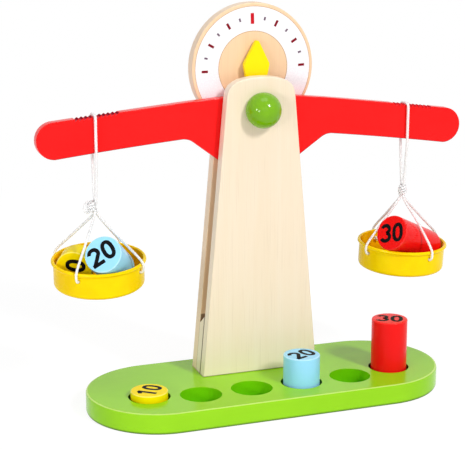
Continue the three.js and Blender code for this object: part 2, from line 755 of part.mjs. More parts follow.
const rocker = new THREE.Group();
rocker.position.set(0, beamY, axleZ);
rocker.rotation.y = radians(beamLeanDeg);
rocker.add(beam(), pointer());
balance.add(rocker);

const leftLoad = [
  leaningWeight('pan_weight_10', 10, panTen),
  leaningWeight('pan_weight_20', 20, panTwenty),
];
const rightLoad = [leaningWeight('pan_weight_30', 30, panThirty)];
balance.add(hangingSide('left', leftSide, leftHang, leftLoad));
balance.add(hangingSide('right', rightSide, rightHang, rightLoad));
balance.add(...standingWeights());

export default balance;
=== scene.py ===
# %% [markdown]
# # A wooden math balance
#
# A red beam rocks between two pale boards on a long green base. A yellow pan hangs on
# cotton cords from each end, and six round weights of 10, 20 and 30 lie in the pans or
# stand in the base. The imported model brings every piece at its true size and place. This
# lesson gives each piece its finish, and makes finely what small curves draw: the cords,
# the turned weights, the knob, and the printed numbers and dial.

# %% The imported model, before anything is added
import math

import bpy
import numpy as np
from mathutils import Matrix, Vector


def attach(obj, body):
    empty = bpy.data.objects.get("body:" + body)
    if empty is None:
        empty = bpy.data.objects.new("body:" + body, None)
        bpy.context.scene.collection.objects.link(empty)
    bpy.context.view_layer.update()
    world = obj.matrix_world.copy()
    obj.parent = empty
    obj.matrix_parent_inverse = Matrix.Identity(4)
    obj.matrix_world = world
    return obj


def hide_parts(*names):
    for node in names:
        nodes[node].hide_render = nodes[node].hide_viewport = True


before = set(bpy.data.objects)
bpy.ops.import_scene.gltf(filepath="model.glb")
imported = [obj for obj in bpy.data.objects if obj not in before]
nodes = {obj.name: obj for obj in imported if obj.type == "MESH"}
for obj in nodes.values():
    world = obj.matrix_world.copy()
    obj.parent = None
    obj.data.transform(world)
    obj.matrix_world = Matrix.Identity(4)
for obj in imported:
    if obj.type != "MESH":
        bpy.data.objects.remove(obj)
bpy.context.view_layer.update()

# %% [markdown]
# ## The camera
#
# The photograph was taken from the front left and a little above, with a long lens. The
# camera's place and turn were worked out from the shape of the toy, so the render can be
# laid over the photograph. A small shift puts the middle of the lens where it belongs.

# %% The photograph's camera
MM = 0.001
PHOTO_WIDTH = 465
FOCAL_PIXELS = 1452.76
SENSOR_MM = 36.0
EYE_MM = (-412.65, -1065.98, 428.52)
CAMERA_RIGHT = (0.93959, -0.34230, 0.0)
CAMERA_BACK = (-0.33219, -0.91187, 0.24111)
LENS_MIDDLE_OFF = (5.405, 0.729)
NEAREST, FARTHEST = 0.05, 50.0


def add_object(name, data):
    """Puts a mesh, a lamp or a camera into the scene as an object of its own."""
    added = bpy.data.objects.new(name, data)
    bpy.context.scene.collection.objects.link(added)
    return added


def photograph_camera():
    """A camera whose axes are the photograph's right, up and backward directions. Its
    lens is the sensor's width times the focal length over the photograph's width."""
    data = bpy.data.cameras.new("photo_camera")
    data.sensor_fit = "HORIZONTAL"
    data.sensor_width = SENSOR_MM
    data.lens = FOCAL_PIXELS / PHOTO_WIDTH * SENSOR_MM
    data.shift_x = -LENS_MIDDLE_OFF[0] / PHOTO_WIDTH
    data.shift_y = LENS_MIDDLE_OFF[1] / PHOTO_WIDTH
    data.clip_start, data.clip_end = NEAREST, FARTHEST
    camera = add_object("photo_camera", data)
    right = Vector(CAMERA_RIGHT).normalized()
    back = Vector(CAMERA_BACK).normalized()
    up = back.cross(right).normalized()
    right = up.cross(back)
    place = Matrix((right, up, back)).transposed().to_4x4()
    place.translation = Vector(EYE_MM) * MM
    camera.matrix_world = place
    bpy.context.scene.camera = camera
    print("camera lens", round(data.lens, 2), "mm")


photograph_camera()

# %% [markdown]
# ## Where the cords run
#
# Each pan hangs from one notch. Both ends of a loop over the beam go into a gather knot,
# and four strands leave that knot for the holes in the pan's wall, where a small knot
# stops each one. Lengths are in millimetres and angles in degrees. A pan leans by the
# first angle towards the second.

# %% The frames of the two hangers and their pans
UP = np.array((0.0, 0.0, 1.0))
CORD = 2.0
LOOP_CORD = 2.4
KNOT_HALF = 5.2
SEATS = {"left": (-135.006, 26.0, 239.206), "right": (134.941, 26.0, 233.819)}
LOOP_DROPS = {"left": 73.3, "right": 74.8}
PAN_FROM_KNOT = {"left": (2.6, 4.2, -43.4), "right": (2.0, 2.2, -45.4)}
PAN_TURN = {"left": -131.0, "right": -76.0}
PAN_LEAN = {"left": (6.0, -110.0), "right": (3.3, -59.0)}
STRAND_BOWS = {"left": (0.0, 0.0, 0.0, 0.0), "right": (2.2, 0.0, 0.0, 0.0)}


def knot_place(side):
    """The middle of a gather knot: the seat in the notch, less the drop of the loop."""
    return np.array(SEATS[side]) - LOOP_DROPS[side] * UP


def pan_frame(side):
    """A pan's turn, which is a lean about the level axis square to its heading, and the
    middle of its rim."""
    lean, heading = (math.radians(value) for value in PAN_LEAN[side])
    axis = Vector((-math.sin(heading), math.cos(heading), 0.0))
    turn = np.array(Matrix.Rotation(lean, 3, axis))
    return turn, knot_place(side) + np.array(PAN_FROM_KNOT[side])


print("pans at", {side: pan_frame(side)[1].round(1) for side in SEATS})

# %% [markdown]
# ### One smooth curve
#
# A Catmull-Rom curve passes through all of its points and needs no handles, so it suits a
# cord that was traced from a picture. Even steps along it keep the lay of the cord even.


# %% A smooth curve through chosen points
def smooth_path(points, step, per_span=40, least=8):
    """Points spaced evenly along the centripetal Catmull-Rom curve through the given ones.

    Between two points, the curve is a cubic whose end slopes come from the neighbours,
    with knots spaced by the square root of each chord."""
    points = np.asarray(points, float)
    p = np.vstack([2 * points[0] - points[1], points, 2 * points[-1] - points[-2]])
    gap = np.sqrt(np.linalg.norm(np.diff(p, axis=0), axis=1))
    d0, d1, d2 = gap[:-2, None], gap[1:-1, None], gap[2:, None]
    a, b, c, d = p[:-3], p[1:-2], p[2:-1], p[3:]
    slope_b = ((b - a) / d0 - (c - a) / (d0 + d1) + (c - b) / d1) * d1
    slope_c = ((c - b) / d1 - (d - b) / (d1 + d2) + (d - c) / d2) * d1
    t = np.linspace(0.0, 1.0, per_span, endpoint=False)[None, :, None]
    b, c, slope_b, slope_c = (v[:, None, :] for v in (b, c, slope_b, slope_c))
    cubic = (2 * t**3 - 3 * t**2 + 1) * b + (t**3 - 2 * t**2 + t) * slope_b
    cubic = cubic + (3 * t**2 - 2 * t**3) * c + (t**3 - t**2) * slope_c
    fine = np.vstack([cubic.reshape(-1, 3), points[-1:]])
    run = np.concatenate([[0.0], np.cumsum(np.linalg.norm(np.diff(fine, axis=0), axis=1))])
    even = np.linspace(0.0, run[-1], max(least, int(run[-1] / step)))
    return np.stack([np.interp(even, run, fine[:, k]) for k in range(3)], axis=1)


# %% [markdown]
# ### The two kinds of route
#
# Half a loop is written as (distance from the beam's middle, height over the notch) and
# mirrored. A strand begins as (distance from the pan's axis, height over the rim): its
# stopper knot, the hole, and the way up outside.

# %% The routes of one loop and one strand
BEAM_HALF = 4.25
BEAM_DEPTH = 32.3
CORD_GAP = 0.3
LEG_IN_KNOT, LEG_AT_KNOT, LEG_OVER_KNOT = 0.9, 2.3, 2.5
LEG_DEPTH = 3.4
STRAND_LOW = [
    (32.8, -7.3), (36.0, -7.3), (37.6, -7.3), (39.3, -5.3), (39.7, -3.0), (39.03, 0.63)
]
STRAND_AT_KNOT, STRAND_IN_KNOT = 1.75, 0.8
STRAND_DEPTH = 2.6


def loop_route(side):
    """Up in front of the beam, over its notch and down behind it. The middle of each bend
    lies in from the corner by the bend's radius times 1 less the root of a half."""
    bend = LOOP_CORD * 0.75
    reach = BEAM_HALF + bend + CORD_GAP
    low = KNOT_HALF + CORD_GAP - LOOP_DROPS[side]
    corner = bend * (1 - math.sqrt(0.5))
    half = [
        (LEG_IN_KNOT, low - LEG_DEPTH),
        (LEG_AT_KNOT, low),
        (LEG_OVER_KNOT, low + LOOP_CORD),
        ((LEG_OVER_KNOT + reach) / 2, (low - BEAM_DEPTH) / 2),
        (reach, -BEAM_DEPTH),
        (reach, -BEAM_DEPTH / 2),
        (reach, -bend),
        (reach - corner, -corner),
        (reach - bend, 0.0),
    ]
    front = [(0.0, -y, z) for y, z in half]
    back = [(0.0, y, z) for y, z in reversed(half)]
    return np.array(front + back) + np.array(SEATS[side])


def strand_route(side, index):
    """From inside the pan's wall, out of the hole and up, and the direction out of the
    hole. The four holes are a quarter turn apart."""
    turn, place = pan_frame(side)
    heading = math.radians(PAN_TURN[side] + 90.0 * index)
    outward = np.array((math.cos(heading), math.sin(heading), 0.0))
    points = [outward * reach + UP * height for reach, height in STRAND_LOW]
    knot = turn.T @ (knot_place(side) - place)
    end = knot + outward * STRAND_AT_KNOT - UP * (KNOT_HALF + CORD_GAP)
    bend = end + outward * (CORD / 2) - UP * CORD
    middle = (points[-1] + bend) / 2 + outward * STRAND_BOWS[side][index]
    inside = knot + outward * STRAND_IN_KNOT - UP * STRAND_DEPTH
    points = np.array(points + [middle, bend, end, inside])
    return points @ turn.T + place, outward @ turn.T


print("strand 1 on the left passes:", len(strand_route("left", 0)[0]), "points")

# %% [markdown]
# ## Surfaces from numbers
#
# Every new piece is a sheet of points. Columns go round the piece and rows go along it, so
# one helper can join them with quads, close each end and add a UV map.


# %% A mesh from a sheet of points
def unit(rows):
    """Each row divided by its own length."""
    return rows / np.linalg.norm(rows, axis=1)[:, None]


def directions(path, closed=False):
    """The unit direction from the point before each point to the one after it."""
    if closed:
        return unit(np.roll(path, -1, axis=0) - np.roll(path, 1, axis=0))
    return unit(np.gradient(path, axis=0))


def unit_circle(count):
    """Points (cos a, sin a) at even angles, without the closing one."""
    angle = np.linspace(0.0, 2 * np.pi, count, endpoint=False)
    return np.stack([np.cos(angle), np.sin(angle)], axis=-1)


def skin(name, rows, start=None, end=None, ring=False, smooth=True):
    """A closed mesh from rows of points. start and end close the first and the last row,
    or ring joins them. A corner's UV is its row's share of the way along and its column's
    share of the way round."""
    count, around = rows.shape[:2]
    verts = rows.reshape(-1, 3)
    index = np.arange(count * around).reshape(count, around)
    low = index if ring else index[:-1]
    high = np.roll(index, -1, axis=0) if ring else index[1:]
    quads = np.stack([low, np.roll(low, -1, 1), np.roll(high, -1, 1), high], axis=-1)
    faces = quads.reshape(-1, 4).tolist()
    for tip, row, flip in ((start, index[0], True), (end, index[-1], False)):
        if tip is None:
            continue
        verts = np.vstack([verts, tip])
        fan = np.stack([row, np.roll(row, -1), np.full(around, len(verts) - 1)], axis=-1)
        faces += (fan[:, [1, 0, 2]] if flip else fan).tolist()
    mesh = bpy.data.meshes.new(name)
    mesh.from_pydata((verts * MM).tolist(), [], faces)
    along = np.linspace(0.0, 1.0, count)
    corners = np.zeros(len(mesh.loops), np.int32)
    mesh.loops.foreach_get("vertex_index", corners)
    corners = np.minimum(corners, count * around - 1)
    uv = np.stack([along[corners // around], (corners % around) / around], axis=-1)
    layer = mesh.uv_layers.new(name="UVMap")
    layer.data.foreach_set("uv", uv.astype(np.float32).ravel())
    mesh.polygons.foreach_set("use_smooth", np.full(len(mesh.polygons), smooth))
    mesh.update()
    return add_object(name, mesh)


def finish_piece(piece, body, material, stands_for=()):
    """Gives a piece its finish and its body, and hides the solids that it stands for."""
    piece.data.materials.append(material)
    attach(piece, body)
    if stands_for:
        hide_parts(*stands_for)


# %% [markdown]
# ## Finishes
#
# Each finish is built up like paint: a base colour, and then layers that cover it by a
# share between 0 and 1. Colours are given as they look on a screen and turned into the
# linear numbers that shaders use.


# %% Helpers for shader nodes
def linear(red, green, blue):
    """Linear colour from 0 to 255 screen values. The screen curve is undone per channel:
    a dark value is divided by 12.92, and any other is 0.055 more, over 1.055, to the 2.4."""
    parts = np.array((red, green, blue)) / 255.0
    out = np.where(parts <= 0.04045, parts / 12.92, ((parts + 0.055) / 1.055) ** 2.4)
    return (*out.tolist(), 1.0)


def metres(*millimetres):
    """Each length times a thousandth."""
    return tuple(value * MM for value in millimetres)


def feed(tree, node, values):
    """Sockets by name or number: a value that comes from another node is joined, and a
    plain one is set on the socket itself."""
    for key, value in values.items():
        if isinstance(value, bpy.types.NodeSocket):
            tree.links.new(value, node.inputs[key])
        else:
            node.inputs[key].default_value = value


def add_node(tree, kind, values, **settings):
    """A new node with its settings, fed with its values."""
    node = tree.nodes.new("ShaderNode" + kind)
    for key, value in settings.items():
        setattr(node, key, value)
    feed(tree, node, values)
    return node


class Finish:
    """A material with one Principled shader and short calls for the nodes around it."""

    def __init__(self, name):
        """place is the point in the piece's own frame, and normal its flat face's."""
        self.material = bpy.data.materials.new(name)
        self.material.use_nodes = True
        self.tree = self.material.node_tree
        self.shader = self.tree.nodes["Principled BSDF"]
        self.place = self.node("TexCoord").outputs["Object"]
        self.normal = self.node("NewGeometry").outputs["True Normal"]
        self.matt = None

    def node(self, kind, values=None, **settings):
        """add_node in this material's tree."""
        return add_node(self.tree, kind, values or {}, **settings)

    def set(self, **values):
        """Feeds the shader; _ stands for a space in a socket's name."""
        values = {key.replace("_", " "): value for key, value in values.items()}
        feed(self.tree, self.shader, values)

    def stretched(self, scale, source=None):
        """The place, or another source, times a scale on each axis."""
        values = {"Vector": source or self.place, "Scale": scale}
        return self.node("Mapping", values).outputs["Vector"]

    def noise(self, vector, scale, detail, rough=0.55, distortion=0.0):
        """Layers of smooth noise added up, each finer and weaker, from 0 to 1."""
        values = {"Vector": vector, "Scale": scale, "Detail": detail}
        values |= {"Roughness": rough, "Distortion": distortion}
        return self.node("TexNoise", values).outputs["Fac"]

    def part(self, vector, axis):
        """The X, Y or Z of a vector."""
        return self.node("SeparateXYZ", {0: vector}).outputs[axis]

    def vector(self, kind, *values):
        """Arithmetic on vectors. SUBTRACT gives a vector, the other kinds a number."""
        node = self.node("VectorMath", dict(enumerate(values)), operation=kind)
        return node.outputs["Vector" if kind == "SUBTRACT" else "Value"]

    def sum(self, kind, *values):
        """Arithmetic of the named kind on numbers."""
        return self.node("Math", dict(enumerate(values)), operation=kind).outputs[0]

    def times(self, product, *others):
        """All the values multiplied together."""
        for other in others:
            product = self.sum("MULTIPLY", product, other)
        return product

    def off(self, value, middle):
        """The size of the gap between a length and a middle given in millimetres."""
        return self.sum("ABSOLUTE", self.sum("SUBTRACT", value, middle * MM))

    def spread(self, value, low, high, to_low=0.0, to_high=1.0, clamp=True):
        """A straight line from (low, to_low) to (high, to_high), held level outside it."""
        values = {"Value": value, "From Min": low, "From Max": high}
        values |= {"To Min": to_low, "To Max": to_high}
        return self.node("MapRange", values, clamp=clamp).outputs["Result"]

    def band(self, value, rise, fall, peak=1.0):
        """A spread that rises times one that falls: 0 outside the band, peak within."""
        return self.times(self.spread(value, *rise), self.spread(value, *fall, 0.0, peak))

    def mix(self, share, first, second):
        """The first colour times 1 less the share, plus the second times the share."""
        colours = {0: share, 6: first, 7: second}
        return self.node("Mix", colours, data_type="RGBA").outputs[2]

    def cover(self, base, share, colour):
        """The base under a layer of a screen colour: their mix by the share."""
        return self.mix(share, base, linear(*colour))

    def bump(self, height, depth_mm, strength):
        """Leans the normal by the slope of a height that is depth_mm at the most."""
        values = {"Height": height, "Distance": depth_mm * MM, "Strength": strength}
        self.set(Normal=self.node("Bump", values).outputs["Normal"])

    def done(self, base, pattern, rough, rougher, **values):
        """Feeds the colour, a roughness that grows with the pattern, and the rest."""
        roughness = self.spread(pattern, 0.3, 0.7, rough, rougher)
        self.set(Base_Color=base, Roughness=roughness, **values)
        return self.material


# %% [markdown]
# ### Bare wood
#
# The grain runs up the post. Broad bands of warmer wood come from a noise that is
# stretched along Z, and hair-fine pores from a second one, stretched further. The side
# faces are painted lighter as painted light, and the slot, the glue lines and the line
# round the foot are painted darker as painted shade.

# %% Bare wood
BAND_STRETCH = (1.0, 1.0, 0.055)
PORE_STRETCH = (1.0, 1.0, 0.022)
CLOUD_STRETCH = (1.0, 1.0, 0.3)
PAINTED_SIDE_LIGHT = (248, 236, 222)
SLOT_MIDDLE, SLOT_EDGE, PAINTED_SLOT_SHADE = 26.0, (5.4, 5.1), (170, 120, 78)
SEAM_TOP, PAINTED_SEAM_SHADE = 66.0, (96, 70, 42)
FOOT_EDGE, PAINTED_FOOT_SHADOW = (18.2, 17.3), (120, 92, 48)
FRONT_SEAM, REAR_SEAM = (21.0, 1.1), (31.0, 0.6)


def bare_wood(name, pale, warm, seams, slot=0.0):
    """Bands, pores and clouds over the pale colour, and painted light that makes the side
    faces lighter. A seam is (y, reach): painted shade darkens the wood within that reach of
    the glue line at y. The share slot is the painted shade in the slot."""
    coat = Finish(name)
    bands = coat.noise(coat.stretched(BAND_STRETCH), 90.0, 4.0, 0.6, 0.35)
    pores = coat.noise(coat.stretched(PORE_STRETCH), 900.0, 2.0)
    clouds = coat.noise(coat.stretched(CLOUD_STRETCH), 14.0, 2.0)
    deeper = tuple(int(value * 0.93) for value in warm)
    base = coat.cover(linear(*pale), coat.spread(bands, 0.35, 0.8, 0.0, 0.6), warm)
    base = coat.cover(base, coat.spread(pores, 0.55, 0.8, 0.0, 0.4), deeper)
    base = coat.cover(base, coat.spread(clouds, 0.45, 0.75, 0.0, 0.3), warm)
    # Painted light: faces that look neither forward nor back are painted lighter.
    facing = coat.sum("ABSOLUTE", coat.part(coat.normal, "Y"))
    base = coat.cover(base, coat.spread(facing, 0.75, 0.3, 0.0, 0.4), PAINTED_SIDE_LIGHT)
    across = coat.part(coat.place, "Y")
    height = coat.part(coat.place, "Z")
    # Painted shade: the faces inside the slot between the boards are painted darker.
    painted_slot_shade = coat.spread(coat.off(across, SLOT_MIDDLE), *metres(*SLOT_EDGE), 0.0, slot)
    base = coat.cover(base, painted_slot_shade, PAINTED_SLOT_SHADE)
    below = coat.spread(height, *metres(SEAM_TOP, SEAM_TOP - 1.0))
    # Painted shade: a dark line along each glue line, where the narrow groove between the boards
    # lies in shade.
    for middle, reach in seams:
        near = coat.spread(coat.off(across, middle), *metres(reach, reach * 0.3), 0.0, 0.8)
        base = coat.cover(base, coat.times(near, below), PAINTED_SEAM_SHADE)
    # Painted shadow: a dark line round the foot, where the post stands on the base.
    foot = coat.spread(height, *metres(*FOOT_EDGE), 0.0, 0.6)
    base = coat.cover(base, foot, PAINTED_FOOT_SHADOW)
    coat.bump(pores, 0.03, 0.5)
    return coat.done(base, bands, 0.3, 0.42, Specular_IOR_Level=0.35)


post_wood = bare_wood("pale_post_wood", (243, 226, 203), (237, 215, 184), [FRONT_SEAM], 0.6)
block_wood = bare_wood(
    "pale_block_wood", (240, 224, 198), (232, 211, 176), [FRONT_SEAM, REAR_SEAM]
)
dial_wood = bare_wood("warm_dial_wood", (244, 209, 170), (236, 196, 152), [REAR_SEAM])
print("woods:", post_wood.name, block_wood.name, dial_wood.name)

# %% [markdown]
# ### Lacquered wood
#
# The lacquer is thick and bright, with a faint ripple and a trace of the grain below. The
# base, the beam and the weights also have a function of their own that paints light and
# shade into the colour, and on the beam it also leaves the notches without gloss.


# %% Lacquer over wood
def lacquer(name, colour, deep, grain, rough=0.16, shine=0.15, wear=None):
    """The colour, mixed with the deep one in patches and along the grain, and then given its
    painted light and shade. Roughness grows by 0.07 over the patches. Shine falls to 0
    where that function leaves the surface matt."""
    coat = Finish(name)
    grain_lines = coat.noise(coat.stretched(grain), 160.0, 3.0, 0.6)
    ripple = coat.noise(coat.place, 420.0, 2.0)
    patches = coat.noise(coat.place, 22.0, 2.0)
    base = coat.cover(linear(*colour), coat.spread(patches, 0.35, 0.75, 0.0, 0.5), deep)
    base = coat.cover(base, coat.spread(grain_lines, 0.5, 0.85, 0.0, 0.3), deep)
    if wear is not None:
        base = wear(coat, base)
    coat.bump(coat.mix(0.35, grain_lines, ripple), 0.025, 0.35)
    if coat.matt is not None:
        shine = coat.spread(coat.matt, 0.0, 1.0, shine, 0.0)
    return coat.done(base, patches, rough, rough + 0.07, Specular_IOR_Level=shine)


# %% [markdown]
# ### Painted light and shade on the base
#
# The plank is straight in the middle, with a half circle at each end. So the distance
# from its middle line is the root of two squares: how far across, and how far beyond the
# straight part. That distance tells the sockets' walls from the plank's own side.

# %% Painted light and shade on the base
FILLED_SOCKETS = [(-105.3, -15.95), (21.7, -25.75), (105.3, -15.95)]
PLANK_STRAIGHT = 91.75
FLAT = (1.0, 1.0, 0.0)
PAINTED_CONTACT_SHADE_GREEN, PAINTED_EDGE_HIGHLIGHT_GREEN = (70, 98, 26), (222, 246, 150)
PAINTED_SOCKET_SHADE_GREEN, PAINTED_GAP_SHADE_GREEN = (104, 200, 2), (18, 44, 0)


def base_wear(coat, base):
    """Painted light and shade: a painted shade along the foot, a painted highlight on the
    top edge, painted shade inside the sockets, and darker painted shade on the upper walls
    round the stored weights. Each share is a product of spreads over the height, the
    normal and a distance."""
    height = coat.part(coat.place, "Z")
    upward = coat.part(coat.normal, "Z")
    # Painted shade: the bottom edge darkens where the base meets the floor.
    base = coat.cover(base, coat.spread(height, *metres(2.6, 0.9), 0.0, 0.9), PAINTED_CONTACT_SHADE_GREEN)
    # Painted highlight: a pale line along the top edge of the base.
    on_top = coat.spread(height, *metres(14.0, 15.0), 0.0, 0.6)
    edge = coat.times(coat.band(upward, (0.8, 0.9), (0.99, 0.96)), on_top)
    base = coat.cover(base, edge, PAINTED_EDGE_HIGHLIGHT_GREEN)
    # Painted shade: the walls and floors of the sockets are painted a deeper green.
    side = coat.sum("ABSOLUTE", coat.part(coat.place, "X"))
    beyond = coat.sum("MAXIMUM", coat.sum("SUBTRACT", side, PLANK_STRAIGHT * MM), 0.0)
    across = coat.part(coat.place, "Y")
    squares = coat.sum("ADD", coat.times(beyond, beyond), coat.times(across, across))
    inside = coat.spread(coat.sum("SQRT", squares), *metres(52.0, 50.0))
    below = coat.spread(height, *metres(16.9, 16.2))
    base = coat.cover(base, coat.times(inside, below, 0.75), PAINTED_SOCKET_SHADE_GREEN)
    # Painted shade: the upper walls round each stored weight are painted nearly black, where the
    # gap lies in shade.
    upper = coat.spread(height, *metres(11.0, 14.5))
    wall = coat.times(coat.spread(upward, 0.5, 0.3), upper, below)
    for x, y in FILLED_SOCKETS:
        away = coat.vector("DISTANCE", coat.stretched(FLAT), metres(x, y, 0.0))
        gap_shade = coat.times(coat.spread(away, *metres(18.0, 17.5), 0.0, 0.8), wall)
        base = coat.cover(base, gap_shade, PAINTED_GAP_SHADE_GREEN)
    return base


# %% [markdown]
# ### Wear on the beam and the weights
#
# The saw left the notches rough and without gloss. Their faces are painted a light pink
# as painted light, and on the left arm the upper part of each slope is painted dark red
# as painted shade. When the distance from a notch's wall is counted in pitches, the
# fraction left over is the share of the way up a slope.

# %% Painted light on the beam and the weights
NOTCH_PITCH = 3.6
LEFT_NOTCH_WALL = -136.2
PAINTED_NOTCH_LIGHT_PINK, PAINTED_NOTCH_SHADE_RED, PAINTED_EDGE_SHADE_RED = (250, 96, 110), (104, 0, 28), (120, 0, 10)


def beam_wear(coat, base):
    """A notch's faces slope along X in the zone of the notches. The painted shade on the cut
    edge below and round the right end is where a bevel's normal has more X than Z."""
    along = coat.part(coat.place, "X")
    sideways = coat.part(coat.normal, "X")
    zone = coat.band(
        coat.sum("ABSOLUTE", along), metres(100.0, 102.0), metres(162.0, 160.0)
    )
    steep = coat.spread(coat.sum("ABSOLUTE", sideways), 0.35, 0.45)
    coat.matt = coat.times(steep, zone)
    # Painted light: the notch faces are painted a light pink.
    base = coat.cover(base, coat.times(coat.matt, 0.7), PAINTED_NOTCH_LIGHT_PINK)
    # Painted shade: on the left arm the upper part of each slope is painted dark red.
    first_slope = metres(LEFT_NOTCH_WALL, LEFT_NOTCH_WALL + NOTCH_PITCH)
    rise = coat.sum("FRACT", coat.spread(along, *first_slope, clamp=False))
    on_left = coat.spread(along, *metres(20.0, -20.0))
    notch_shade = coat.times(coat.band(rise, (0.3, 0.6), (0.95, 0.75)), on_left, coat.matt)
    base = coat.cover(base, coat.times(notch_shade, 0.85), PAINTED_NOTCH_SHADE_RED)
    # Painted shade: the bevel faces that turn right or down are painted darker.
    facing = coat.sum("ABSOLUTE", coat.part(coat.normal, "Y"))
    bevel = coat.band(facing, (0.1, 0.2), (0.97, 0.93))
    away = coat.sum("SUBTRACT", sideways, coat.part(coat.normal, "Z"))
    line = coat.times(bevel, coat.spread(away, 0.1, 0.4, 0.0, 0.8))
    return coat.cover(base, line, PAINTED_EDGE_SHADE_RED)


def own_uv(coat):
    """The UV that skin wrote: how far along, and how far round."""
    return coat.node("UVMap", uv_map="UVMap").outputs["UV"]


def weight_wear(painted_rim_highlight):
    """A painted highlight on a weight's rim, in its own paler colour."""
    def wear(coat, base):
        """Painted highlight: the paler colour covers the round edge of the numbered end,
        which is from 0.56 to 0.97 of the way along the profile."""
        share = coat.part(own_uv(coat), "X")
        return coat.cover(base, coat.band(share, (0.56, 0.66), (0.97, 0.9), 0.45), painted_rim_highlight)
    return wear


# %% [markdown]
# ### The lacquer colours
#
# The knob is the glossiest piece, and its highlights show where the lamps are.

# %% The lacquer colours
GRAIN_ALONG, GRAIN_UP = (0.08, 1.0, 1.0), (1.0, 1.0, 0.08)
NO_GRAIN, WEIGHT_GRAIN = (1.0, 1.0, 1.0), (1.0, 1.0, 0.2)
WEIGHT_ROUGH = 0.2
# The last colour of each weight is its painted rim highlight.
WEIGHT_COLOURS = {
    10: ("yellow", (255, 232, 0), (255, 222, 0), 0.06, (255, 240, 140)),
    20: ("blue", (158, 223, 255), (147, 216, 255), 0.2, (210, 242, 255)),
    30: ("red", (248, 20, 18), (238, 12, 14), 0.15, (255, 60, 54)),
}

base_green = lacquer(
    "base_green_lacquer", (153, 217, 26), (141, 206, 18), GRAIN_ALONG, shine=0.2, wear=base_wear
)
knob_green = lacquer("knob_green_lacquer", (122, 180, 0), (104, 162, 0), NO_GRAIN, 0.1, 0.34)
beam_red = lacquer(
    "beam_red_lacquer", (252, 22, 22), (240, 14, 16), GRAIN_ALONG, wear=beam_wear
)
pointer_yellow = lacquer("pointer_yellow_lacquer", (255, 232, 0), (250, 220, 0), GRAIN_UP)
weight_finishes = {}
for value, (word, colour, deep, shine, painted_rim_highlight) in WEIGHT_COLOURS.items():
    weight_finishes[value] = lacquer(
        f"weight_{word}_lacquer", colour, deep, WEIGHT_GRAIN, WEIGHT_ROUGH, shine,
        weight_wear(painted_rim_highlight),
    )
print("lacquers:", 4 + len(weight_finishes))

# %% [markdown]
# ### Enamel, cotton, ink and zinc
#
# The pans are metal under glossy enamel, which is painted a deeper yellow inside as
# painted shade. The cord is white cotton with a soft fuzz, which a sheen layer gives, and
# light sinks into it and comes out a few millimetres away. The ink is dull, and the screws
# are zinc plated.

# %% The other finishes
PAN_YELLOW, POOLED_YELLOW, PAINTED_INNER_SHADE_YELLOW = (255, 222, 0), (254, 208, 0), (250, 196, 0)
WALL_MIDDLE, FLOOR_MIDDLE = (36.1, 35.8), (-22.1, -21.7)


def enamel(name, side):
    """Inside is nearer the axis than the wall's middle and above the floor's. Height is
    the place dotted with the axis, and the distance from the axis is the root of the
    squared length less the squared height."""
    coat = Finish(name)
    turn, middle = pan_frame(side)
    local = coat.vector("SUBTRACT", coat.place, metres(*middle))
    height = coat.vector("DOT_PRODUCT", local, tuple(turn[:, 2]))
    length = coat.vector("LENGTH", local)
    square = coat.sum("SUBTRACT", coat.times(length, length), coat.times(height, height))
    within = coat.spread(coat.sum("SQRT", square), *metres(*WALL_MIDDLE))
    inside = coat.times(within, coat.spread(height, *metres(*FLOOR_MIDDLE)))
    pools = coat.noise(coat.place, 45.0, 3.0)
    peel = coat.noise(coat.place, 700.0, 2.0)
    base = coat.cover(linear(*PAN_YELLOW), coat.spread(pools, 0.35, 0.75), POOLED_YELLOW)
    # Painted shade: the inside of the pan is painted a deeper yellow.
    base = coat.cover(base, inside, PAINTED_INNER_SHADE_YELLOW)
    coat.bump(peel, 0.02, 0.3)
    return coat.done(base, pools, 0.2, 0.3, Specular_IOR_Level=0.08)


def cotton(name):
    """Near white, mixed with a greyer white along the fibres, and rough by the fuzz."""
    coat = Finish(name)
    fibres = coat.noise(coat.stretched((30.0, 14.0, 1.0), own_uv(coat)), 6.0, 3.0)
    fuzz = coat.noise(coat.place, 2600.0, 2.0)
    base = coat.cover(linear(254, 254, 254), coat.spread(fibres, 0.35, 0.7), (246, 246, 248))
    coat.bump(coat.mix(0.5, fibres, fuzz), 0.05, 0.3)
    coat.set(Base_Color=base, Roughness=coat.spread(fuzz, 0.2, 0.8, 0.8, 0.98))
    coat.set(Sheen_Weight=0.35, Sheen_Roughness=0.5, Specular_IOR_Level=0.1)
    coat.set(Subsurface_Weight=1.0, Subsurface_Radius=(1.0,) * 3, Subsurface_Scale=0.003)
    return coat.material


def ink(name, colour, rough=0.45, lift=16):
    """A dull print with fine dots that are lighter by lift on each channel."""
    coat = Finish(name)
    dots = coat.noise(coat.place, 900.0, 2.0)
    lighter = tuple(min(255, value + lift) for value in colour)
    base = coat.cover(linear(*colour), coat.spread(dots, 0.45, 0.8), lighter)
    return coat.done(base, dots, rough, rough + 0.15, Specular_IOR_Level=0.1)


def zinc(name):
    """Metal whose colour and roughness follow one fine noise."""
    coat = Finish(name)
    brushed = coat.noise(coat.place, 1200.0, 3.0)
    base = coat.cover(linear(196, 198, 202), brushed, (168, 171, 176))
    return coat.done(base, brushed, 0.28, 0.42, Metallic=1.0)


pan_enamels = {side: enamel(f"{side}_pan_enamel", side) for side in SEATS}
cotton_cord = cotton("white_cotton_cord")
black_ink = ink("black_number_ink", (2, 2, 5), lift=8)
white_ink = ink("white_dial_ink", (240, 238, 242), 0.35)
edge_ink = ink("tan_edge_ink", (196, 156, 118))
red_ink = ink("red_dial_ink", (196, 8, 26))
dark_red_ink = ink("dark_red_dial_ink", (126, 0, 26))
grey_ink = ink("grey_dial_ink", (104, 80, 98))
screw_zinc = zinc("screw_zinc")
print("finishes:", len(bpy.data.materials))

